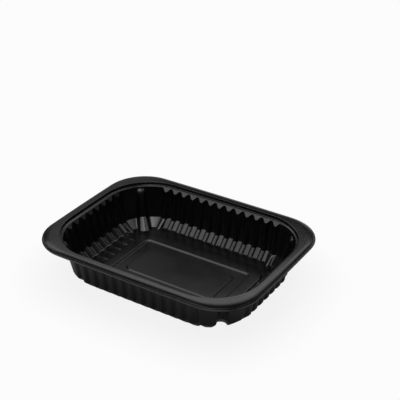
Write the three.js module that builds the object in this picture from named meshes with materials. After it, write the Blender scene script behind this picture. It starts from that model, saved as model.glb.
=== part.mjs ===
// A thermoformed food tray with a sealing rim, moulded from one sheet of black plastic.
// Millimetres, +Z up, X along the tray. The origin is on the table under the middle of the tray.
//
// The upper skin is a set of closed loops, from the lip of the rim down the ribbed wall to the floor.
// Every loop has the same stations round the tray, so neighbouring loops join as strips of quads.
// The lower skin is the same grid moved back by the thickness of the sheet.

import * as THREE from 'three';

// Whole tray.
const trayLength = 190;
const trayWidth = 144;
const trayHeight = 36.5;
const sheet = 0.6;
const bowShortSide = 1.1;
const bowLongSide = 0.8;
const wallBow = 0.35;

// Rim: a narrow lip, a riser, a shoulder, the flat sealing face, a step for the lid film and a narrow ledge.
const lipRadius = 32.4;
const riserRadius = 31.4;
const shoulderRadius = 31.6;
const lipZ = 34.6;
const riserZ = 35.6;
const lipWidth = 0.9;
const riserWidth = 0.4;
const shoulderWidth = 2.3;
const faceInnerX = 87.0;
const faceInnerY = 64.1;
const faceInnerRadius = 39;
const stepFootX = 86.2;
const stepFootY = 63.5;
const stepFootZ = 34.1;
const stepFootRadius = 38;
const ledgeX = 84.1;
const ledgeY = 61.3;
const ledgeZ = 33.7;
const ledgeRadius = 35.4;

// Wall: it leans in from the ledge to the top of a 45 degree chamfer above the floor.
const wallFootX = 79.3;
const wallFootY = 57.3;
const wallFootZ = 7.1;
const wallFootRadius = 35;
const chamferFootX = 72.2;
const chamferFootY = 50.4;
const chamferFootRadius = 28;

// Ribs: hollow pleats that stand inwards from the wall and run on over the chamfer and the floor.
const ribPitch = 8.75;
const lastRibLong = 6;
const lastRibShort = 3.5;
const ribFootHalf = 2.7;
const ribNoseHalf = 1.1;
const toothTipHalf = 0.6;
const toothTipX = 81.8;
const toothTipY = 58.9;
const toothTipZ = 30.5;
const toothRootZ = 33.1;
const ribDepthX = 2.1;
const ribDepthY = 1.9;
const ribFootZ = 6.6;
const floorRibDepth = 0.5;
const lastRibToeHalf = 0.5;
const lastRibToeDepth = 2.8;

// Corner columns: half cones on the diagonals, measured out from the centre of the corner's arcs.
const columnToe = 21.3;
const columnToeRadius = 7.1;
const columnKnee = 30.7;
const columnKneeRadius = 5.0;
const columnKneeRise = 3.0;
const columnTop = 36.4;
const columnTopRadius = 4.2;
const columnTopZ = 31.9;
const columnTopRise = -3.4;

// Floor: the low feet, a raised ring round the middle and two nested rectangles inside it.
const floorZ = sheet;
const ringZ = floorZ + 1.2;
const panelZ = floorZ + 0.6;
const ringX = 58.4;
const ringY = 36.0;
const ringRadius = 11.5;
const ringStep = 0.8;
const sunkX = 49.7;
const sunkY = 27.4;
const sunkRadius = 4.1;
const sunkSlope = 1.2;
const panelX = 40.9;
const panelY = 18.2;
const panelRadius = 5.4;
const panelSlope = 0.9;

// Stations of one quarter, between the middle of a short side and the middle of a long side.
const facetSteps = 3;
const columnSteps = 6;
const floorCornerSteps = 5;

// How the lower skin is mitred behind a crease.
const mitreSoftening = 0.02;
const mitreLimit = 1.25;

const yEnd = lastRibShort * ribPitch + ribFootHalf;
const xEnd = lastRibLong * ribPitch + ribFootHalf;
const cornerSteps = 2 * facetSteps + columnSteps;

function mix(a, b, t) {
  return a + (b - a) * t;
}

// A rounded rectangle whose half sizes are taken at the middle of its bowed sides.
function outline(halfX, halfY, radius, bow = 1) {
  const bowX = bow * bowShortSide;
  const bowY = bow * bowLongSide;
  return { halfX: halfX - bowX, halfY: halfY - bowY, radius, bowX, bowY };
}

function bowed(shape, x, y) {
  const gainX = 1 + (shape.bowX / shape.halfX) * (1 - (y / shape.halfY) ** 2);
  const gainY = 1 + (shape.bowY / shape.halfY) * (1 - (x / shape.halfX) ** 2);
  return [x * gainX, y * gainY];
}

// The outline's x at a height y on the short side.
function edgeX(shape, y) {
  const past = Math.max(0, y - (shape.halfY - shape.radius));
  const x = shape.halfX - shape.radius + Math.sqrt(shape.radius ** 2 - past ** 2);
  return bowed(shape, x, y)[0];
}

// The outline's y at a place x on the long side.
function edgeY(shape, x) {
  const past = Math.max(0, x - (shape.halfX - shape.radius));
  const y = shape.halfY - shape.radius + Math.sqrt(shape.radius ** 2 - past ** 2);
  return bowed(shape, x, y)[1];
}

// A point on the outline between the last rib of the short side (0) and of the long side (1).
function cornerPoint(shape, fraction) {
  const centreX = shape.halfX - shape.radius;
  const centreY = shape.halfY - shape.radius;
  const from = Math.asin(Math.max(0, yEnd - centreY) / shape.radius);
  const to = Math.acos(Math.max(0, xEnd - centreX) / shape.radius);
  const straightShort = Math.max(0, centreY - yEnd);
  const straightLong = Math.max(0, centreX - xEnd);
  const arc = (to - from) * shape.radius;
  const run = fraction * (straightShort + arc + straightLong);
  if (run < straightShort) return bowed(shape, shape.halfX, yEnd + run);
  if (run > straightShort + arc) {
    return bowed(shape, centreX - (run - straightShort - arc), shape.halfY);
  }
  const angle = from + (run - straightShort) / shape.radius;
  return bowed(shape, centreX + shape.radius * Math.cos(angle), centreY + shape.radius * Math.sin(angle));
}

// The flat of the wall between ribs, at any height.
function wallOutline(z) {
  const t = (ledgeZ - z) / (ledgeZ - wallFootZ);
  const halfX = mix(ledgeX, wallFootX, t);
  const halfY = mix(ledgeY, wallFootY, t);
  return outline(halfX, halfY, mix(ledgeRadius, wallFootRadius, t), wallBow);
}

const wallFoot = wallOutline(wallFootZ);
const chamferFoot = outline(chamferFootX, chamferFootY, chamferFootRadius, wallBow);
const columnCentreX = wallFootX - wallFootRadius;
const columnCentreY = wallFootY - wallFootRadius;

function onSide(station, shape, along, depth, z) {
  if (station.side === 'short') return new THREE.Vector3(edgeX(shape, along) - depth, along, z);
  return new THREE.Vector3(along, edgeY(shape, along) - depth, z);
}

// A place on a corner column: nose is its innermost distance along the diagonal, step runs -1 to 1.
function onColumn(wallPoint, nose, radius, step, z) {
  const wallDistance = Math.hypot(wallPoint[0] - columnCentreX, wallPoint[1] - columnCentreY);
  const axis = nose + radius;
  const sweep = Math.acos(Math.min(1, Math.max(-1, (axis - wallDistance) / radius)));
  const out = (axis - radius * Math.cos(step * sweep)) * Math.SQRT1_2;
  const across = radius * Math.sin(step * sweep) * Math.SQRT1_2;
  return new THREE.Vector3(columnCentreX + out - across, columnCentreY + out + across, z);
}

// The fraction of the corner at which a column of this size leaves the wall.
function facetEnd(shape, nose, radius) {
  const wallPoint = cornerPoint(shape, 0.5);
  const side = onColumn(wallPoint, nose, radius, -1, 0);
  const middle = new THREE.Vector3(wallPoint[0], wallPoint[1], 0);
  const start = new THREE.Vector3(...cornerPoint(shape, 0), 0);
  return 0.5 * (1 - side.distanceTo(middle) / start.distanceTo(middle));
}

// A loop on the rim, without ribs.
function rimLoop(shape, z) {
  return (station) => {
    if (station.corner !== undefined) {
      return new THREE.Vector3(...cornerPoint(shape, station.corner / cornerSteps), z);
    }
    return onSide(station, shape, station.along(ribNoseHalf), 0, z);
  };
}

// A loop on the wall or the chamfer, with ribs on the sides and a column in each corner.
function ribbedLoop(loop) {
  return (station) => {
    if (station.corner === undefined) {
      const form = station.last && loop.lastNose ? loop.lastNose : loop.nose;
      const along = station.along(form.half);
      if (!station.nose) return onSide(station, loop.flute, along, 0, loop.fluteZ);
      const depth = station.side === 'short' ? form.depthX : form.depthY;
      return onSide(station, loop.flute, along, depth, form.z);
    }
    const { nose, radius, rise } = loop.column;
    const end = facetEnd(loop.corner, nose, radius);
    const fromMiddle = station.corner - cornerSteps / 2;
    if (Math.abs(fromMiddle) >= columnSteps / 2) {
      const inner = Math.min(station.corner, cornerSteps - station.corner) / facetSteps;
      const fraction = fromMiddle < 0 ? inner * end : 1 - inner * end;
      return new THREE.Vector3(...cornerPoint(loop.corner, fraction), loop.cornerZ);
    }
    const step = fromMiddle / (columnSteps / 2);
    const z = loop.cornerZ + rise * Math.cos(step * Math.PI / 2);
    return onColumn(cornerPoint(loop.corner, 0.5), nose, radius, step, z);
  };
}

// A loop round the raised ring: ribs run into it level, and the low floor meets it in a step.
function ringLoop(reach, lowZ) {
  const shape = outline(ringX + reach, ringY + reach, ringRadius + reach, 0);
  return (station) => {
    if (station.turn !== undefined) {
      const angle = station.turn * (Math.PI / 2);
      const x = shape.halfX - shape.radius + shape.radius * Math.cos(angle);
      const y = shape.halfY - shape.radius + shape.radius * Math.sin(angle);
      return new THREE.Vector3(x, y, lowZ);
    }
    return onSide(station, shape, station.along(ribNoseHalf), 0, station.nose ? ringZ : lowZ);
  };
}

const tooth = wallOutline(toothRootZ);
const halfLength = trayLength / 2;
const halfWidth = trayWidth / 2;
const riserTop = lipWidth + riserWidth;
const shoulderTop = riserTop + shoulderWidth;

const loops = [
  rimLoop(outline(halfLength, halfWidth, lipRadius), lipZ),
  rimLoop(outline(halfLength - lipWidth, halfWidth - lipWidth, riserRadius), lipZ),
  rimLoop(outline(halfLength - riserTop, halfWidth - riserTop, riserRadius), riserZ),
  rimLoop(outline(halfLength - shoulderTop, halfWidth - shoulderTop, shoulderRadius), trayHeight),
  rimLoop(outline(faceInnerX, faceInnerY, faceInnerRadius), trayHeight),
  rimLoop(outline(stepFootX, stepFootY, stepFootRadius), stepFootZ),
  rimLoop(outline(ledgeX, ledgeY, ledgeRadius, wallBow), ledgeZ),
  ribbedLoop({
    flute: tooth,
    fluteZ: toothRootZ,
    nose: {
      half: toothTipHalf,
      depthX: tooth.halfX + tooth.bowX - toothTipX,
      depthY: tooth.halfY + tooth.bowY - toothTipY,
      z: toothTipZ,
    },
    corner: wallOutline(columnTopZ),
    cornerZ: columnTopZ,
    column: { nose: columnTop, radius: columnTopRadius, rise: columnTopRise },
  }),
  ribbedLoop({
    flute: wallFoot,
    fluteZ: wallFootZ,
    nose: { half: ribNoseHalf, depthX: ribDepthX, depthY: ribDepthY, z: ribFootZ },
    corner: wallFoot,
    cornerZ: wallFootZ,
    column: { nose: columnKnee, radius: columnKneeRadius, rise: columnKneeRise },
  }),
  ribbedLoop({
    flute: chamferFoot,
    fluteZ: floorZ,
    nose: { half: ribNoseHalf, depthX: floorRibDepth, depthY: floorRibDepth, z: ringZ },
    lastNose: { half: lastRibToeHalf, depthX: lastRibToeDepth, depthY: lastRibToeDepth, z: floorZ },
    corner: chamferFoot,
    cornerZ: floorZ,
    column: { nose: columnToe, radius: columnToeRadius, rise: 0 },
  }),
  ringLoop(ringStep, floorZ),
  ringLoop(0, ringZ),
];

// Four stations for each rib: foot, nose, nose, foot. The last rib of a side turns with the ring.
function ribStations(side, rib, offsets) {
  return offsets.map(([sign, nose]) => ({
    side,
    nose,
    last: rib === (side === 'short' ? lastRibShort : lastRibLong),
    along: (noseHalf) => rib * ribPitch + sign * (nose ? noseHalf : ribFootHalf),
  }));
}

function quarterStations() {
  const rising = [[-1, false], [-1, true], [1, true], [1, false]];
  const falling = [[1, false], [1, true], [-1, true], [-1, false]];
  const list = [];
  for (let rib = 0.5; rib <= lastRibShort; rib++) list.push(...ribStations('short', rib, rising));
  for (let step = 1; step < cornerSteps; step++) list.push({ corner: step });
  for (let rib = lastRibLong; rib > 0; rib--) list.push(...ribStations('long', rib, falling));
  list.push(...ribStations('long', 0, falling.slice(0, 2)));
  const turning = list.filter((station) => station.last || station.corner !== undefined);
  turning.forEach((station, i) => {
    station.turn = (i + 1) / (turning.length + 1);
  });
  return list;
}

// A quarter is mirrored into the whole loop, counter-clockwise seen from above.
function wholeLoop(quarter) {
  const mirrored = (signX, signY) => quarter.map((p) => new THREE.Vector3(signX * p.x, signY * p.y, p.z));
  return [
    ...mirrored(1, 1),
    ...mirrored(-1, 1).reverse(),
    ...mirrored(-1, -1),
    ...mirrored(1, -1).reverse(),
  ];
}

// A quarter of a rectangle inside the ring: a point on each axis and the corner's arc between.
function rectangleLoop(halfX, halfY, radius, z) {
  const quarter = [new THREE.Vector3(halfX, (halfY - radius) / 2, z)];
  for (let step = 0; step <= floorCornerSteps; step++) {
    const angle = (step / floorCornerSteps) * (Math.PI / 2);
    const x = halfX - radius + radius * Math.cos(angle);
    const y = halfY - radius + radius * Math.sin(angle);
    quarter.push(new THREE.Vector3(x, y, z));
  }
  quarter.push(new THREE.Vector3((halfX - radius) / 2, halfY, z));
  return wholeLoop(quarter);
}

// The point one sheet thickness behind a grid point, equally far behind every face that meets there.
function behind(point, normals) {
  const sum = new THREE.Vector3();
  const m = new Array(9).fill(0);
  for (const n of normals) {
    const v = n.toArray();
    sum.add(n);
    for (let row = 0; row < 3; row++) {
      for (let column = 0; column < 3; column++) m[3 * row + column] += v[row] * v[column];
    }
  }
  for (const diagonal of [0, 4, 8]) m[diagonal] += mitreSoftening;
  const shift = sum.applyMatrix3(new THREE.Matrix3().set(...m).invert());
  return point.clone().addScaledVector(shift.clampLength(0, mitreLimit), -sheet);
}

function faceNormal(a, b, c, d) {
  const diagonal = new THREE.Vector3().subVectors(c, a);
  return diagonal.cross(new THREE.Vector3().subVectors(d, b)).normalize();
}

// The lower skin of a grid of loops. Beyond its last loop the sheet is level.
function lowerGrid(grid, levelBefore) {
  const count = grid[0].length;
  const up = new THREE.Vector3(0, 0, 1);
  const quadNormal = (row, i) => {
    const outer = grid[row];
    const inner = grid[row + 1];
    const next = (i + 1) % count;
    return faceNormal(outer[i], outer[next], inner[next], inner[i]);
  };
  return grid.map((loop, row) => loop.map((point, i) => {
    const before = (i + count - 1) % count;
    const normals = [];
    if (row > 0) normals.push(quadNormal(row - 1, i), quadNormal(row - 1, before));
    if (row < grid.length - 1) normals.push(quadNormal(row, i), quadNormal(row, before));
    if (row === grid.length - 1 || (row === 0 && levelBefore)) normals.push(up, up);
    const lower = row === 0 && !levelBefore ? point.clone() : behind(point, normals);
    if ([floorZ, ringZ, panelZ].includes(point.z) || row === 0) lower.z = point.z - sheet;
    return lower;
  }));
}

// Collects the skins and numbers their points.
class Shell {
  constructor() {
    this.positions = [];
    this.index = [];
    this.numbers = new Map();
  }

  number(point) {
    if (!this.numbers.has(point)) {
      this.numbers.set(point, this.positions.length / 3);
      this.positions.push(point.x, point.y, point.z);
    }
    return this.numbers.get(point);
  }

  triangle(a, b, c, flipped) {
    const corners = [a, b, c].map((point) => this.number(point));
    if (flipped) corners.reverse();
    this.index.push(...corners);
  }

  // A strip of quads between an outer and an inner loop, facing up unless flipped.
  strip(outer, inner, flipped) {
    for (let i = 0; i < outer.length; i++) {
      const next = (i + 1) % outer.length;
      this.triangle(outer[i], outer[next], inner[next], flipped);
      this.triangle(outer[i], inner[next], inner[i], flipped);
    }
  }

  grid(loopsOfGrid, flipped) {
    for (let row = 1; row < loopsOfGrid.length; row++) {
      this.strip(loopsOfGrid[row - 1], loopsOfGrid[row], flipped);
    }
  }

  // A level area inside a loop, with or without a hole.
  level(outer, hole, flipped) {
    const flat = (loop) => loop.map((point) => new THREE.Vector2(point.x, point.y));
    const holes = hole ? [flat(hole)] : [];
    const points = hole ? [...outer, ...hole] : outer;
    for (const [a, b, c] of THREE.ShapeUtils.triangulateShape(flat(outer), holes)) {
      const side = new THREE.Vector2().subVectors(points[b], points[a]);
      const turn = side.cross(new THREE.Vector2().subVectors(points[c], points[a]));
      this.triangle(points[a], points[b], points[c], flipped !== turn < 0);
    }
  }

  geometry() {
    const geometry = new THREE.BufferGeometry();
    geometry.setAttribute('position', new THREE.Float32BufferAttribute(this.positions, 3));
    geometry.setIndex(this.index);
    geometry.computeVertexNormals();
    return geometry;
  }
}

function trayGeometry() {
  const quarter = quarterStations();
  const wall = loops.map((loop) => wholeLoop(quarter.map(loop)));
  const middle = [
    rectangleLoop(sunkX, sunkY, sunkRadius, ringZ),
    rectangleLoop(sunkX - sunkSlope, sunkY - sunkSlope, sunkRadius - sunkSlope, floorZ),
    rectangleLoop(panelX, panelY, panelRadius, floorZ),
    rectangleLoop(panelX - panelSlope, panelY - panelSlope, panelRadius - panelSlope, panelZ),
  ];
  const wallBelow = lowerGrid(wall, false);
  const middleBelow = lowerGrid(middle, true);
  const shell = new Shell();
  for (const [sides, centre, flipped] of [[wall, middle, false], [wallBelow, middleBelow, true]]) {
    shell.grid(sides, flipped);
    shell.level(sides.at(-1), centre[0], flipped);
    shell.grid(centre, flipped);
    shell.level(centre.at(-1), null, flipped);
  }
  shell.strip(wallBelow[0], wall[0], false);
  return shell.geometry();
}

const blackPlastic = new THREE.MeshStandardMaterial({ color: 0x17181a, roughness: 0.42, metalness: 0 });

const tray = new THREE.Mesh(trayGeometry(), blackPlastic);
tray.name = 'tray';

const container = new THREE.Group();
container.add(tray);

export default container;
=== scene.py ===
import math
import bpy
import numpy as np
from mathutils import Matrix, Vector


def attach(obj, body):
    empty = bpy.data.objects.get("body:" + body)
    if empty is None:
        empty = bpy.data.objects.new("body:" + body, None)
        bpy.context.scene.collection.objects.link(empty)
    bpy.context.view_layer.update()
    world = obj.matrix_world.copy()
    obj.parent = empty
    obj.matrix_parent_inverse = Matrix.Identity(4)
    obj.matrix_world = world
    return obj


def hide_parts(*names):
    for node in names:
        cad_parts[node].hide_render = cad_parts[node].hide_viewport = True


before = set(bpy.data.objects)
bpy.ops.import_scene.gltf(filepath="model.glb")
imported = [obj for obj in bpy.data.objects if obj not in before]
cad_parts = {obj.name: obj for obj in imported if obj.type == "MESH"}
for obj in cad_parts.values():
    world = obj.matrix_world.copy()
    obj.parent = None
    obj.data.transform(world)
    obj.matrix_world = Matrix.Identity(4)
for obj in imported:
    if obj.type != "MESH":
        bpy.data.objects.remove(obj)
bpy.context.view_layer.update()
scene = bpy.context.scene
mm = 0.001

# The tray's sheet. All sizes here are in mm, x along the tray, z from the table.
tray = dict(
    sheet=0.6,
    bowX=1.1,                    # how far the middle of a short side of the rim stands out
    bowY=0.8,                    # and of a long side
    ribPitch=8.75,
    ribsShort=4,                 # ribs from the middle of a short side, where a flute is, to its corner
    ribsLong=6.5,                # and of a long side, where a rib stands on the middle
    ribTop=0.3,                  # half the width of a rib's top, and its flank, where a crease gives none
    ribFlank=4.0,
    flankStraight=0.8,           # share of a crisp rib's flank that is straight
    stations=(0.35, 0.9, 1.2, 1.85, 2.5, 2.8, 3.4, 4.0),    # from a rib's middle, closest at a flank's ends
    stationsPerCorner=48,
    columnCentre=(44.3, 22.3),   # the corner columns stand on the diagonal through this point
    columnShare=0.52,            # share of a corner's stations that the column takes
    columnShoulderZ=27.0,        # its top is a quarter of an ellipse from here
    columnTopZ=31.9,             # up to here
    columnTopWidth=0.6,          # share of its width that is left there
    columnLeast=0.005,           # depth that stands for no column
    filletLeast=0.3,             # least radius of the fillets beside a column
    turnLeast=0.000001,          # radians that keep a straight crease from dividing by 0
    noColumn=(46.0, 4.8, 3.7),   # x less reach, half width and nose radius where a crease gives no column
    flangeStride=2,              # the rim has every second station
    middleStations=(12, 24, 18), # half a short side, a corner and half a long side of the floor's middle
)

# The section of the sheet, crease by crease from the lip to the raised ring. A crease has half sizes x and
# y, a height z, a corner radius and a share of the rim's bow. Its bend starts "cut" before it and has "rows"
# rows. "nose" is where the crease lies on a rib, "last" where it lies on the rib beside a corner, and
# "noseCut" the cut there. A rib is "top" wide to each side of its middle, and falls off over "flank".
# "lastTop" and "lastFlank" are those of the rib beside a corner. "column" gives a corner column's reach,
# height, half width and nose radius. "between" gives extra rows, as shares of the way to the next crease.
creases = [
    dict(x=95.0, y=72.0, z=34.3, corner=32.4, bow=1),
    dict(x=95.0, y=72.0, z=34.6, corner=32.4, bow=1, cut=0.22, rows=3),
    dict(x=94.1, y=71.1, z=34.6, corner=31.4, bow=1, cut=0.3, rows=3),
    dict(x=93.7, y=70.7, z=35.6, corner=31.4, bow=1, cut=0.15, rows=3),
    dict(x=91.4, y=68.4, z=36.5, corner=31.6, bow=1, cut=1.4, rows=7),
    dict(x=87.0, y=64.1, z=36.5, corner=39.0, bow=1, cut=0.3, rows=5),
    dict(x=86.2, y=63.5, z=34.1, corner=38.0, bow=1, cut=0.35, rows=5),
    dict(x=84.2, y=61.4, z=33.82, corner=35.5, bow=0.35, cut=0.26, rows=5),
    dict(x=83.83, y=61.03, z=33.31, corner=35.3, bow=0.35, cut=0.26, rows=5,
         nose=(81.8, 58.9, 30.5), noseCut=0.5, top=0.45, flank=3.2, column=(37.9, 33.3, 4.8, 3.7),
         between=(0.054, 0.065, 0.088, 0.122, 0.168, 0.233, 0.355, 0.546, 0.737, 0.87)),
    dict(x=79.3, y=57.3, z=7.1, corner=35.0, bow=0.35, cut=0.7, rows=7,
         nose=(77.2, 55.4, 6.6), noseCut=0.6, top=0.9, flank=1.9, lastFlank=3.0,
         column=(30.7, 9.7, 6.25, 4.9), between=(0.5,)),
    dict(x=72.2, y=50.4, z=0.6, corner=28.0, bow=0.35, cut=0.5, rows=7,
         nose=(70.7, 49.2, 0.95), noseCut=0.5, last=(68.4, 46.6, 0.6), top=0.9, flank=1.9, lastTop=0.25,
         lastFlank=2.4, column=(21.3, 0.6, 6.4, 5.6), between=(0.25, 0.5, 0.75)),
    dict(x=59.2, y=36.8, z=0.6, corner=12.3, bow=0, cut=0.4, rows=5, nose=(59.2, 36.8, 0.95),
         last=(59.2, 36.8, 0.6), top=1.0, flank=1.2),
    dict(x=58.4, y=36.0, z=1.8, corner=11.5, bow=0, cut=0.6, rows=5, top=1.1, flank=1.6),
    dict(x=57.2, y=34.8, z=1.8, corner=10.3, bow=0, top=1.1, flank=1.6),
]
ledgeCrease = 7                  # the creases where the ledge, the floor and the ring's slope start
floorCrease = 10
ringCrease = 11

# The middle of the floor: a sunk band and the raised panel inside it.
middleCreases = [
    dict(x=56.0, y=33.6, z=1.8, corner=9.1),
    dict(x=49.7, y=27.4, z=1.8, corner=4.1, cut=0.35, rows=5),
    dict(x=48.5, y=26.2, z=0.6, corner=2.9, cut=0.35, rows=5),
    dict(x=41.0, y=18.3, z=0.6, corner=5.5, cut=0.2, rows=5),
    dict(x=40.0, y=17.3, z=1.5, corner=4.5, cut=0.25, rows=5),
    dict(x=33.0, y=10.3, z=1.5, corner=2.5, cut=1.0, rows=3),
    dict(x=24.0, y=1.3, z=1.5, corner=0.5),
]


# Straights between the knots, joined by circular arcs that touch them at the cut before and after each knot.
# Angles and lengths are measured in two of the columns, and the other columns go along in proportion. For a
# turn t and a cut c the radius is c / tan(t / 2). Returns the rows, and for each its place counted in knots.
def bentPath(knots, table, plane, cutName="cut"):
    path, place = [knots[:1]], [np.zeros(1)]
    for i in range(1, len(knots) - 1):
        cut = table[i].get(cutName, table[i].get("cut", 0))
        rowCount = table[i].get("rows", 1)
        back = (knots[i] - knots[i - 1]) / np.hypot(*(knots[i] - knots[i - 1])[plane])
        ahead = (knots[i + 1] - knots[i]) / np.hypot(*(knots[i + 1] - knots[i])[plane])
        turn = math.acos(np.clip(back[plane] @ ahead[plane], -1, 1)) + tray["turnLeast"]
        radius = cut / math.tan(turn / 2)
        angle = np.linspace(0, turn, rowCount)
        onward = radius * (1 - np.cos(angle)) / math.sin(turn)
        before = cut - radius * np.sin(angle) + onward * math.cos(turn)
        path.append(knots[i] - np.outer(before, back) + np.outer(onward, ahead))
        place.append(np.full(rowCount, float(i)))
        share = np.array(table[i].get("between", ()))
        path.append(knots[i] + np.outer(share, knots[i + 1] - knots[i]))
        place.append(i + share)
    path.append(knots[-1:])
    place.append(np.full(1, float(len(knots) - 1)))
    return np.concatenate(path), np.concatenate(place)


# The rows of one line of the section: down a flute, down a rib's nose, or down the last rib. The columns are
# x, y, z, corner radius, bow, and a rib's top and flank, elsewhere and beside a corner.
def creaseRows(line):
    knots = []
    for crease in creases:
        point = (crease["x"], crease["y"], crease["z"])
        if line != "flute":
            point = crease.get("nose", point)
        if line == "last":
            point = crease.get("last", point)
        top, flank = crease.get("top", tray["ribTop"]), crease.get("flank", tray["ribFlank"])
        knots.append((*point, crease["corner"], crease["bow"], top, flank,
                      crease.get("lastTop", top), crease.get("lastFlank", flank)))
    return bentPath(np.array(knots), creases, [0, 2], "cut" if line == "flute" else "noseCut")


# The rows down the nose of a corner column: reach, height, half width and nose radius.
def columnRows():
    inset, width, radius = tray["noColumn"]
    knots = [crease.get("column", (crease["x"] - inset, crease["z"], width, radius)) for crease in creases]
    return bentPath(np.array(knots), creases, [0, 1])[0]


# The whole section, each quantity with a row for each row of the sheet. The half sizes are without the bow,
# which the sides get at the end.
def readSection():
    flute, place = creaseRows("flute")
    names = ("x", "y", "z", "corner", "bow", "top", "flank", "lastTop", "lastFlank")
    section = {name: flute[:, k, None] for k, name in enumerate(names)}
    section.update(flute=flute, place=place, nose=creaseRows("nose")[0], last=creaseRows("last")[0])
    section["bowX"], section["bowY"] = section["bow"] * tray["bowX"], section["bow"] * tray["bowY"]
    section["x"] = section["x"] - section["bowX"]
    section["y"] = section["y"] - section["bowY"]
    return section


# The straight side of a rounded rectangle, and its corner's circle where "along" goes past the straight.
def sideEdge(half, otherHalf, corner, along):
    past = np.maximum(0, along - (otherHalf - corner))
    return half - corner + np.sqrt(np.maximum(corner ** 2 - past ** 2, 0))


# Points on the corner of a rounded rectangle, by the share of its length from y = start to x = end.
def cornerRun(half, otherHalf, corner, start, end, share):
    centreX, centreY = half - corner, otherHalf - corner
    first = np.arcsin(np.maximum(0, start - centreY) / corner)
    final = np.arccos(np.maximum(0, end - centreX) / corner)
    before = np.maximum(0, centreY - start)
    after = np.maximum(0, centreX - end)
    arc = (final - first) * corner
    run = share * (before + arc + after)
    angle = first + np.clip(run - before, 0, arc) / corner
    x = centreX + corner * np.cos(angle) - np.maximum(0, run - before - arc)
    y = centreY + corner * np.sin(angle) - np.maximum(0, before - run)
    return x, y


# Where the stations stand along half a short side and half a long side, from the middle towards the corner.
def sideStations():
    half = np.array(tray["stations"])
    both = np.concatenate([-half[::-1], half])
    short = (np.arange(tray["ribsShort"]) + 0.5)[:, None] * tray["ribPitch"] + both
    long = np.arange(math.ceil(tray["ribsLong"]))[:, None] * tray["ribPitch"] + both
    return short.ravel(), long.ravel()[len(half):]


# 1 on the top of a rib, then down to 0 over the flank: half a cosine wave where "straight" is 0, and a
# straight slope with a level bit at each end where it is 1.
def ribWave(distance, top, flank, straight):
    share = np.clip((distance - top) / flank, 0, 1)
    wave = 0.5 + 0.5 * np.cos(np.pi * share)
    slope = np.clip(0.5 - (share - 0.5) / tray["flankStraight"], 0, 1)
    return wave + straight * (slope - wave)


# The rows along half a short side (axis 0) or half a long side (axis 1). A point is the flute's point moved
# towards the nose's by the rib's wave.
def sideGrid(section, along, axis):
    pitch = tray["ribPitch"]
    offset, ribs = ((0.5, tray["ribsShort"]), (0.0, tray["ribsLong"]))[axis]
    distance = np.abs((along / pitch - offset + 0.5) % 1 - 0.5) * pitch
    isLast = along > (ribs - 1) * pitch
    straight = np.clip(section["place"][:, None] - ledgeCrease - 1, 0, 1)
    wave = np.where(isLast, ribWave(distance, section["lastTop"], section["lastFlank"], 0),
                    ribWave(distance, section["top"], section["flank"], straight))
    target = np.where(isLast, section["last"][:, axis, None], section["nose"][:, axis, None])
    targetZ = np.where(isLast, section["last"][:, 2, None], section["nose"][:, 2, None])
    half, otherHalf = (section["x"], section["y"]) if axis == 0 else (section["y"], section["x"])
    edge = sideEdge(half, otherHalf, section["corner"], along)
    out = edge - wave * (section["flute"][:, axis, None] - target)
    beside = np.broadcast_to(along, out.shape)
    height = section["z"] + wave * (targetZ - section["z"])
    return np.stack([out, beside, height] if axis == 0 else [beside, out, height], -1)


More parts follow.
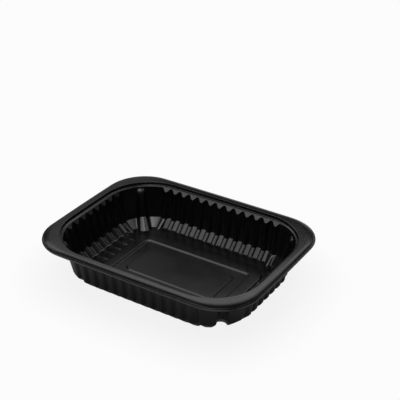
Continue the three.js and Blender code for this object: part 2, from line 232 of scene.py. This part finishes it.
# The rows round the corner, in distances out along its diagonal and across it. The wall is a circle, and the
# column stands out of it as an arc with a fillet on each side: with depth d and half width m the two radii
# sum to (m^2 + d^2) / 2d.
def cornerGrid(section, shortEnd, longEnd):
    centreX, centreY = tray["columnCentre"]
    halfX, halfY, z, corner = (section[name] for name in ("x", "y", "z", "corner"))
    arcOut = (halfX - corner - centreX + halfY - corner - centreY) / math.sqrt(2)
    arcAcross = (halfY - corner - centreY - halfX + corner + centreX) / math.sqrt(2)
    firstAcross = (shortEnd - centreY - sideEdge(halfX, halfY, corner, shortEnd) + centreX) / math.sqrt(2)
    finalAcross = (sideEdge(halfY, halfX, corner, longEnd) - centreY - longEnd + centreX) / math.sqrt(2)

    # The column's depth and its radii, row by row
    rows = columnRows()
    reach, noseZ, width, noseRadius = (rows[:, k, None] for k in range(4))
    rise = np.clip((noseZ - tray["columnShoulderZ"]) / (tray["columnTopZ"] - tray["columnShoulderZ"]), 0, 1)
    dome = np.sqrt(1 - rise ** 2)
    width = width * (tray["columnTopWidth"] + (1 - tray["columnTopWidth"]) * dome)
    wallReach = arcOut + np.sqrt(corner ** 2 - arcAcross ** 2)
    depth = np.maximum((wallReach - reach) * dome, tray["columnLeast"])
    radii = (width ** 2 + depth ** 2) / (2 * depth)
    steepest = 2 * np.arctan2(depth, width)
    noseRadius = np.minimum(noseRadius, radii - tray["filletLeast"])
    filletRadius = radii - noseRadius

    # Each station's place on the nose, on a fillet, or on the wall beside them
    share = (np.arange(tray["stationsPerCorner"]) + 0.5) / tray["stationsPerCorner"]
    station = (share - 0.5) / (tray["columnShare"] / 2)      # -1 and 1 where the fillets meet the wall
    side, away = np.sign(station), np.abs(station)
    onNose = away < noseRadius / radii
    noseAngle = steepest * np.minimum(away * radii / noseRadius, 1)
    filletAngle = steepest * np.clip((1 - away) / (1 - noseRadius / radii), 0, 1)
    noseAcross = noseRadius * np.sin(noseAngle)
    noseDepth = depth - noseRadius * (1 - np.cos(noseAngle))
    filletAcross = noseRadius * np.sin(steepest) + filletRadius * (np.sin(steepest) - np.sin(filletAngle))
    filletDepth = filletRadius * (1 - np.cos(filletAngle))
    toEnd = np.clip((away - 1) / (1 / tray["columnShare"] - 1), 0, 1)
    endAcross = np.where(station < 0, firstAcross, finalAcross)
    wallAcross = side * width + toEnd * (endAcross - side * width)
    across = np.where(away > 1, wallAcross, side * np.where(onNose, noseAcross, filletAcross))
    inward = np.where(away > 1, 0, np.where(onNose, noseDepth, filletDepth))

    out = arcOut + np.sqrt(np.maximum(corner ** 2 - (across - arcAcross) ** 2, 0)) - inward
    x = centreX + (out - across) / math.sqrt(2)
    y = centreY + (out + across) / math.sqrt(2)
    height = z + (noseZ - z) * inward / depth * (depth > tray["columnLeast"])
    return np.stack([x, y, height], -1)


# Round the corner the rim's rows are spaced like the ledge's, by their shares of its length.
def spaceRim(corners, section, shortEnd, longEnd):
    halfX, halfY, corner = (section[name] for name in ("x", "y", "corner"))
    rim = section["place"] < ledgeCrease
    ledge = int(np.argmax(~rim))
    firstX = sideEdge(halfX[ledge], halfY[ledge], corner[ledge], shortEnd)
    finalY = sideEdge(halfY[ledge], halfX[ledge], corner[ledge], longEnd)
    ledgeX, ledgeY = corners[ledge, :, 0], corners[ledge, :, 1]
    lengths = np.hypot(np.diff(ledgeX, prepend=firstX), np.diff(ledgeY, prepend=shortEnd))
    whole = lengths.sum() + math.hypot(longEnd - ledgeX[-1], finalY[0] - ledgeY[-1])
    share = np.cumsum(lengths) / whole
    rimX, rimY = cornerRun(halfX[rim], halfY[rim], corner[rim], shortEnd, longEnd, share)
    corners[rim, :, 0], corners[rim, :, 1] = rimX, rimY


# The sides bow out: x grows by bow times 1 less the square of y's share of its half size, and y likewise.
def bowOut(grid, section):
    x, y = grid[..., 0].copy(), grid[..., 1].copy()
    grid[..., 0] = x * (1 + section["bowX"] / section["x"] * (1 - (y / section["y"]) ** 2))
    grid[..., 1] = y * (1 + section["bowY"] / section["y"] * (1 - (x / section["x"]) ** 2))


# The ring's rows are straight beside the ribs that reach it, and the other stations share out its corner.
def squareRing(grid, section, short, long):
    for r in np.flatnonzero(section["place"] >= ringCrease):
        halfX, halfY, corner = (section[name][r, 0] for name in ("x", "y", "corner"))
        first, final = short[short < halfY - corner], long[long < halfX - corner]
        turning = grid.shape[1] - len(first) - len(final)
        angle = (np.arange(turning) + 0.5) / turning * np.pi / 2
        turnX, turnY = halfX - corner + corner * np.cos(angle), halfY - corner + corner * np.sin(angle)
        grid[r, :, 0] = np.concatenate([np.full(len(first), halfX), turnX, final])
        grid[r, :, 1] = np.concatenate([first, turnY, np.full(len(final), halfY)])


# The floor between the chamfer and the ring is drawn straight across.
def straightFloor(grid, place):
    rows = np.flatnonzero((place > floorCrease) & (place < ringCrease))
    outer, inner = grid[rows[0] - 1], grid[rows[-1] + 1]
    grid[rows] = outer + (place[rows] - floorCrease)[:, None, None] * (inner - outer)


# Every row of the section at every station of a quarter, from the middle of a short side, y = 0, round the
# corner to the middle of a long side, x = 0.
def quarterGrid():
    section = readSection()
    short, long = sideStations()
    long = long[::-1]
    shortEnd, longEnd = tray["ribsShort"] * tray["ribPitch"], tray["ribsLong"] * tray["ribPitch"]
    corners = cornerGrid(section, shortEnd, longEnd)
    spaceRim(corners, section, shortEnd, longEnd)
    grid = np.concatenate([sideGrid(section, short, 0), corners, sideGrid(section, long, 1)], 1)
    bowOut(grid, section)
    squareRing(grid, section, short, long)
    straightFloor(grid, section["place"])
    return grid, section["place"]


# The rows of the middle of the floor: rounded rectangles that go down into the sunk band, up onto the panel
# and in towards the middle.
def middleGrid():
    knots = np.array([(c["x"], c["y"], c["z"], c["corner"]) for c in middleCreases])
    rows = bentPath(knots, middleCreases, [0, 2])[0]
    halfX, halfY, z, corner = (rows[:, k, None] for k in range(4))
    onShort, onCorner, onLong = ((np.arange(count) + 0.5) / count for count in tray["middleStations"])
    onLong = onLong[::-1]
    angle = onCorner * np.pi / 2
    turnX, turnY = halfX - corner + corner * np.cos(angle), halfY - corner + corner * np.sin(angle)
    x = np.concatenate([halfX + 0 * onShort, turnX, (halfX - corner) * onLong], 1)
    y = np.concatenate([(halfY - corner) * onShort, turnY, halfY + 0 * onLong], 1)
    return np.stack([x, y, np.broadcast_to(z, x.shape)], -1)


# A quarter mirrored into the whole loop, counter-clockwise from above.
def wholeRound(quarter):
    mirrorX, mirrorY = np.array([-1, 1, 1]), np.array([1, -1, 1])
    second, fourth = (quarter * mirrorX)[:, ::-1], (quarter * mirrorY)[:, ::-1]
    return np.concatenate([quarter, second, quarter * mirrorX * mirrorY, fourth], 1)


# Faces between two rows of vertex numbers. Rows of one length give quads. Where one row has more numbers,
# its points fan out from the other's.
def joinRows(outer, inner):
    if len(outer) == len(inner):
        return [np.stack([outer, np.roll(outer, -1), np.roll(inner, -1), inner], 1)], []
    fine, coarse = (outer, inner) if len(outer) > len(inner) else (inner, outer)
    ratio = len(fine) // len(coarse)
    groups = np.concatenate([fine.reshape(-1, ratio), np.roll(fine, -ratio).reshape(-1, ratio)[:, :1]], 1)
    nextCoarse = np.roll(coarse, -1)
    triangles = [np.stack([groups[:, ratio // 2], nextCoarse, coarse], 1)]
    for k in range(ratio):
        tip = coarse if k < ratio // 2 else nextCoarse
        triangles.append(np.stack([groups[:, k], groups[:, k + 1], tip], 1))
    if fine is inner:
        triangles = [t[:, ::-1] for t in triangles]
    return [], triangles


# Faces of a whole skin from its rows, closed at the pole.
def joinAll(rows, pole):
    quads, triangles = [], []
    for outer, inner in zip(rows[:-1], rows[1:]):
        moreQuads, moreTriangles = joinRows(outer, inner)
        quads += moreQuads
        triangles += moreTriangles
    triangles.append(np.stack([rows[-1], np.roll(rows[-1], -1), np.full(len(rows[-1]), pole)], 1))
    return np.concatenate(quads), np.concatenate(triangles)


# Area-weighted normals of the vertices: each face adds the cross product of its diagonals, or of two sides.
def vertexNormals(points, quads, triangles):
    corners = points[quads]
    quadCross = np.cross(corners[:, 2] - corners[:, 0], corners[:, 3] - corners[:, 1])
    corners = points[triangles]
    triangleCross = np.cross(corners[:, 1] - corners[:, 0], corners[:, 2] - corners[:, 0])
    normals = np.zeros_like(points)
    for faces, cross in ((quads, quadCross), (triangles, triangleCross)):
        for k in range(faces.shape[1]):
            np.add.at(normals, faces[:, k], cross)
    return normals / np.linalg.norm(normals, axis=1, keepdims=True)


# Which rows the lower skin has: every second row of a bend, and of the rows between bends.
def rowsBelow(place):
    number = np.arange(len(place))
    inBend = number - np.searchsorted(place, place)
    return np.where(place % 1 > 0, number, inBend) % 2 == 0


# The upper skin, and the lower skin one sheet thickness behind it along the normals. They are joined at the
# lip's edge, which is the lip's upper bend and the same turned over.
def trayMesh():
    grid, place = quarterGrid()
    grid, middle = wholeRound(grid), wholeRound(middleGrid())
    strides = np.where(place < ledgeCrease, tray["flangeStride"], 1)
    loops = [row[::stride] for row, stride in zip(grid, strides)] + list(middle)
    starts = np.cumsum([0] + [len(loop) for loop in loops])
    rows = [np.arange(first, end) for first, end in zip(starts[:-1], starts[1:])]
    upper = np.concatenate(loops + [middle[-1, :1] * [0, 0, 1]])
    pole = len(upper) - 1
    quads, triangles = joinAll(rows, pole)

    lower = upper - tray["sheet"] * vertexNormals(upper, quads, triangles)
    lip = np.concatenate(rows[:1 + creases[1]["rows"]])
    lower[lip] = upper[lip] * [1, 1, -1] + [0, 0, 2 * creases[0]["z"]]
    kept = np.concatenate([rowsBelow(place), np.ones(len(middle), bool)])
    lowerRows = [rows[0]] + [rows[r] + len(upper) for r in np.flatnonzero(kept)[1:]]
    lowerQuads, lowerTriangles = joinAll(lowerRows, pole + len(upper))
    quads = np.concatenate([quads, lowerQuads[:, ::-1]])
    triangles = np.concatenate([triangles, lowerTriangles[:, ::-1]])

    # Only the vertices that have faces stay
    points = np.concatenate([upper, lower])
    used = np.zeros(len(points), bool)
    used[quads], used[triangles] = True, True
    number = np.cumsum(used) - 1
    return points[used], number[quads], number[triangles]


def meshPiece(name, points, quads, triangles):
    mesh = bpy.data.meshes.new(name)
    mesh.from_pydata((points * mm).tolist(), [], quads.tolist() + triangles.tolist())
    mesh.polygons.foreach_set("use_smooth", np.ones(len(mesh.polygons), bool))
    mesh.normals_split_custom_set_from_vertices(vertexNormals(points, quads, triangles).tolist())
    mesh.update()
    piece = bpy.data.objects.new(name, mesh)
    scene.collection.objects.link(piece)
    return piece


trayPoints, trayQuads, trayTriangles = trayMesh()
trayPiece = meshPiece("foodTray", trayPoints, trayQuads, trayTriangles)
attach(trayPiece, "root")
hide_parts("tray")
print("tray:", len(trayPoints), "points,", 2 * len(trayQuads) + len(trayTriangles), "triangles")


# Black plastic: satin sheet with a fine grain, gloss that wanders, marks drawn down the walls by the mould,
# light scuffs on the top of the rim, and a few specks of dust all over. The masks give features for each
# metre, the noise's detail, and the two values of the noise that become 0 and 1.
plastic = dict(
    black=(0.0017, 0.0017, 0.0020, 1),
    worn=(0.008, 0.008, 0.0086, 1),         # the scuffs on the top of the rim
    wornShare=0.8,
    dust=(0.03, 0.03, 0.029, 1),
    dustShare=0.45,
    refraction=1.5,
    roughness=0.235,
    roughnessSpread=0.04,
    markGloss=0.05,
    scuffGloss=0.12,
    rubbedFrom=0.0361,                      # metres from the table over which the scuffs set in
    rubbedTo=0.0366,
    waveHeight=0.00001,                     # metres, as the grain's height is
    grainHeight=0.0000008,
    masks=dict(
        gloss=((60, 60, 60), 3.0, 0.3, 0.7),
        marks=((420, 420, 26), 2.0, 0.35, 0.65),         # fine streaks that run down the walls
        scuffs=((900, 120, 300), 4.0, 0.62, 0.74),
        specks=((2600, 2600, 2600), 1.0, 0.735, 0.78),
        wave=((95, 95, 95), 2.0, 0.2, 0.8),              # the slight unevenness of a drawn sheet
        grain=((3200, 3200, 3200), 2.0, 0.3, 0.7),
    ),
)


# A group's own input or output, named, with its starting value.
def addSocket(tree, name, kind, direction, value=None):
    socket = tree.interface.new_socket(name, in_out=direction, socket_type=kind)
    if value is not None:
        socket.default_value = value


def addNode(tree, kind, **settings):
    node = tree.nodes.new(kind)
    for key, value in settings.items():
        setattr(node, key, value)
    return node


# A socket's own value, or a link from another socket.
def feed(tree, socket, value):
    if isinstance(value, bpy.types.NodeSocket):
        tree.links.new(value, socket)
    else:
        socket.default_value = value


# Fractal noise stretched by Scale on Object coordinates, put out as a mask between From and To.
def makeNoiseMask():
    tree = bpy.data.node_groups.new("noiseMask", "ShaderNodeTree")
    addSocket(tree, "Scale", "NodeSocketVector", "INPUT", (1, 1, 1))
    addSocket(tree, "Detail", "NodeSocketFloat", "INPUT", 3.0)
    addSocket(tree, "From", "NodeSocketFloat", "INPUT", 0.3)
    addSocket(tree, "To", "NodeSocketFloat", "INPUT", 0.7)
    addSocket(tree, "Mask", "NodeSocketFloat", "OUTPUT")
    given = addNode(tree, "NodeGroupInput")
    result = addNode(tree, "NodeGroupOutput")
    place = addNode(tree, "ShaderNodeTexCoord")
    stretch = addNode(tree, "ShaderNodeVectorMath", operation="MULTIPLY")
    noise = addNode(tree, "ShaderNodeTexNoise")
    reach = addNode(tree, "ShaderNodeMapRange", interpolation_type="SMOOTHSTEP")
    feed(tree, stretch.inputs[0], place.outputs["Object"])
    feed(tree, stretch.inputs[1], given.outputs["Scale"])
    feed(tree, noise.inputs["Vector"], stretch.outputs[0])
    feed(tree, noise.inputs["Scale"], 1)
    feed(tree, noise.inputs["Detail"], given.outputs["Detail"])
    feed(tree, reach.inputs["Value"], noise.outputs["Fac"])
    feed(tree, reach.inputs["From Min"], given.outputs["From"])
    feed(tree, reach.inputs["From Max"], given.outputs["To"])
    feed(tree, result.inputs["Mask"], reach.outputs["Result"])
    return tree


def blackPlastic():
    material = bpy.data.materials.new("blackPlastic")
    material.use_nodes = True
    tree = material.node_tree
    shader = tree.nodes["Principled BSDF"]
    shader.inputs["IOR"].default_value = plastic["refraction"]
    noiseMask = makeNoiseMask()

    def mask(name):
        node = addNode(tree, "ShaderNodeGroup", node_tree=noiseMask)
        for socket, value in zip(("Scale", "Detail", "From", "To"), plastic["masks"][name]):
            node.inputs[socket].default_value = value
        return node.outputs["Mask"]

    # Sums are free, and the rest is kept between 0 and 1.
    def combine(operation, first, second=0.0):
        node = addNode(tree, "ShaderNodeMath", operation=operation, use_clamp=operation != "ADD")
        feed(tree, node.inputs[0], first)
        feed(tree, node.inputs[1], second)
        return node.outputs[0]

    def blendColour(share, first, second):
        node = addNode(tree, "ShaderNodeMix", data_type="RGBA")
        feed(tree, node.inputs["Factor"], share)
        feed(tree, node.inputs["A"], first)
        feed(tree, node.inputs["B"], second)
        return node.outputs["Result"]

    # The marks of drawing are on upright walls alone, and the scuffs on the top of the rim
    apart = addNode(tree, "ShaderNodeSeparateXYZ")
    feed(tree, apart.inputs[0], addNode(tree, "ShaderNodeTexCoord").outputs["Object"])
    high = addNode(tree, "ShaderNodeMapRange", interpolation_type="SMOOTHSTEP")
    feed(tree, high.inputs["Value"], apart.outputs["Z"])
    feed(tree, high.inputs["From Min"], plastic["rubbedFrom"])
    feed(tree, high.inputs["From Max"], plastic["rubbedTo"])
    facing = addNode(tree, "ShaderNodeSeparateXYZ")
    feed(tree, facing.inputs[0], addNode(tree, "ShaderNodeNewGeometry").outputs["Normal"])
    upright = combine("SUBTRACT", 1.0, combine("ABSOLUTE", facing.outputs["Z"]))
    marks = combine("MULTIPLY", mask("marks"), upright)
    scuffs = combine("MULTIPLY", mask("scuffs"), high.outputs["Result"])

    # Colour: rubbed plastic is a little greyer, and a few specks of dust lie about
    worn = combine("MULTIPLY", scuffs, plastic["wornShare"])
    dusty = combine("MULTIPLY", mask("specks"), plastic["dustShare"])
    rubbed = blendColour(worn, plastic["black"], plastic["worn"])
    feed(tree, shader.inputs["Base Color"], blendColour(dusty, rubbed, plastic["dust"]))

    # Gloss: wanders slowly, has the streaks of drawing, and is duller where it is rubbed
    gloss = combine("MULTIPLY", mask("gloss"), plastic["roughnessSpread"])
    gloss = combine("ADD", gloss, combine("MULTIPLY", marks, plastic["markGloss"]))
    gloss = combine("ADD", gloss, combine("MULTIPLY", scuffs, plastic["scuffGloss"]))
    least = plastic["roughness"] - (plastic["roughnessSpread"] + plastic["markGloss"]) / 2
    feed(tree, shader.inputs["Roughness"], combine("ADD", gloss, least))

    # Relief: waves of the sheet, then the grain
    wave = addNode(tree, "ShaderNodeBump")
    feed(tree, wave.inputs["Distance"], plastic["waveHeight"])
    feed(tree, wave.inputs["Height"], mask("wave"))
    grain = addNode(tree, "ShaderNodeBump")
    feed(tree, grain.inputs["Distance"], plastic["grainHeight"])
    feed(tree, grain.inputs["Height"], mask("grain"))
    feed(tree, grain.inputs["Normal"], wave.outputs["Normal"])
    feed(tree, shader.inputs["Normal"], grain.outputs["Normal"])
    return material


trayPiece.data.materials.append(blackPlastic())
print("plastic: done")


# Camera, fitted to the photo: azimuth, elevation and roll in degrees, distance in mm. It looks at the point
# that is at aimZ over the middle of the tray, and turns so that this point shows at the pixel aim.
view = dict(
    azimuth=34.504,
    elevation=31.491,
    roll=1.068,
    distance=760.9,
    aimZ=34.9,
    aim=(178.53, 235.88),
    picture=400,                 # width and height of the picture in pixels
    lens=88.64,
    sensor=36.0,
    nearest=0.01,                # metres
)


def makeCamera():
    azimuth, elevation = math.radians(view["azimuth"]), math.radians(view["elevation"])
    back = Vector((math.sin(azimuth) * math.cos(elevation), -math.cos(azimuth) * math.cos(elevation),
                   math.sin(elevation)))
    right = Vector((0, 0, 1)).cross(back).normalized()
    facing = Matrix((right, back.cross(right), back))
    roll = Matrix.Rotation(math.radians(view["roll"]), 3, "Z")
    focal, middle = view["lens"] / view["sensor"] * view["picture"], view["picture"] / 2
    seen = Vector(((view["aim"][0] - middle) / focal, -(view["aim"][1] - middle) / focal, -1))
    aim = Vector((0, 0, -1)).rotation_difference(seen.normalized()).to_matrix()
    place = back * view["distance"] + Vector((0, 0, view["aimZ"]))
    data = bpy.data.cameras.new("camera")
    data.lens = view["lens"]
    data.sensor_width = view["sensor"]
    data.clip_start = view["nearest"]
    camera = bpy.data.objects.new("camera", data)
    camera.matrix_world = Matrix.Translation(place * mm) @ (aim @ roll @ facing).transposed().to_4x4()
    scene.collection.objects.link(camera)
    scene.camera = camera


makeCamera()
print("camera: done")


# Floor and lights. A light stands at an azimuth from +x, an elevation and a distance in metres, has a width
# and a height in metres and a radiance, and looks at the tray.
studio = dict(
    floorSize=12.0,
    floorSeen=0.97,              # brightness of the floor to the camera
    floorShade=0.10,             # how much of it the contact shadow takes away
    floorShadeReach=0.05,        # metres over which that fades
    floorReflected=0.55,         # brightness of the floor as the plastic reflects it
    floorUnder=0.08,             # and close beside the tray, where its own shadow lies
    floorUnderReach=0.12,
    floorHidden=0.4,             # share of open sky at which the shade is full
    skyReflected=0.05,
    lights=dict(
        keyHigh=(230, 48, 0.8, 0.5, 0.2, 2.2),
        keyLow=(228, 33, 0.8, 0.5, 0.22, 1.7),
        front=(272, 52, 0.8, 0.45, 0.28, 2.1),
        top=(308, 69, 0.8, 0.34, 0.3, 3.8),
        overhead=(240, 75, 0.8, 0.4, 0.25, 2.9),
        right=(22, 52, 0.8, 0.6, 0.28, 1.5),
        rightLow=(50, 21, 0.8, 0.4, 0.26, 0.2),
        behind=(124, 46, 0.45, 0.62, 0.09, 1.6),
        behindHigh=(124, 57, 0.45, 0.6, 0.07, 0.9),
        behindLow=(130, 17, 0.8, 0.6, 0.2, 0.22),
        behindLeft=(136, 29.5, 0.87, 0.25, 0.2, 0.27),
        horizon=(90, 12, 0.8, 1.0, 0.2, 0.6),
    ),
)


# One look for the camera's own rays, and another for every other ray.
def mixByRay(tree, seen, other, output):
    path = addNode(tree, "ShaderNodeLightPath")
    mix = addNode(tree, "ShaderNodeMixShader")
    feed(tree, mix.inputs[0], path.outputs["Is Camera Ray"])
    feed(tree, mix.inputs[1], other.outputs[0])
    feed(tree, mix.inputs[2], seen.outputs[0])
    feed(tree, output.inputs["Surface"], mix.outputs[0])


# The camera sees the floor near white, with a soft contact shadow from how near the tray is. The plastic
# reflects a dimmer floor, which is dimmest close beside the tray.
def makeFloor():
    half = studio["floorSize"] / 2
    corners = [(-half, -half, 0), (half, -half, 0), (half, half, 0), (-half, half, 0)]
    mesh = bpy.data.meshes.new("floor")
    mesh.from_pydata(corners, [], [(0, 1, 2, 3)])
    floor = bpy.data.objects.new("floor", mesh)
    scene.collection.objects.link(floor)
    material = bpy.data.materials.new("paleFloor")
    material.use_nodes = True
    mesh.materials.append(material)
    tree = material.node_tree
    tree.nodes.clear()

    def glow(reach, dark, bright):
        near = addNode(tree, "ShaderNodeAmbientOcclusion", samples=8)
        feed(tree, near.inputs["Distance"], reach)
        shade = addNode(tree, "ShaderNodeMapRange")
        feed(tree, shade.inputs["Value"], near.outputs["AO"])
        feed(tree, shade.inputs["From Min"], studio["floorHidden"])
        feed(tree, shade.inputs["To Min"], dark)
        feed(tree, shade.inputs["To Max"], bright)
        light = addNode(tree, "ShaderNodeEmission")
        feed(tree, light.inputs["Strength"], shade.outputs["Result"])
        return light

    seen = glow(studio["floorShadeReach"], studio["floorSeen"] - studio["floorShade"], studio["floorSeen"])
    reflected = glow(studio["floorUnderReach"], studio["floorUnder"], studio["floorReflected"])
    mixByRay(tree, seen, reflected, addNode(tree, "ShaderNodeOutputMaterial"))


def makeSky():
    world = bpy.data.worlds.new("studio")
    scene.world = world
    world.use_nodes = True
    tree = world.node_tree
    tree.nodes.clear()
    seen, reflected = addNode(tree, "ShaderNodeBackground"), addNode(tree, "ShaderNodeBackground")
    for sky in (seen, reflected):
        feed(tree, sky.inputs["Color"], (1, 1, 1, 1))
    feed(tree, reflected.inputs["Strength"], studio["skyReflected"])
    mixByRay(tree, seen, reflected, addNode(tree, "ShaderNodeOutputWorld"))
    scene.view_settings.view_transform = "Standard"


# A rectangle's power is its radiance times pi times its area.
def makeLight(name, azimuth, elevation, distance, width, height, radiance):
    data = bpy.data.lights.new(name, "AREA")
    data.shape = "RECTANGLE"
    data.size, data.size_y = width, height
    data.energy = radiance * math.pi * width * height
    lamp = bpy.data.objects.new(name, data)
    turn, rise = math.radians(azimuth), math.radians(elevation)
    back = Vector((math.cos(turn) * math.cos(rise), math.sin(turn) * math.cos(rise), math.sin(rise)))
    lamp.location = back * distance
    lamp.rotation_euler = back.to_track_quat("Z", "Y").to_euler()
    lamp.visible_camera = False
    scene.collection.objects.link(lamp)


makeFloor()
makeSky()
for name, values in studio["lights"].items():
    makeLight(name, *values)
print("studio: done")
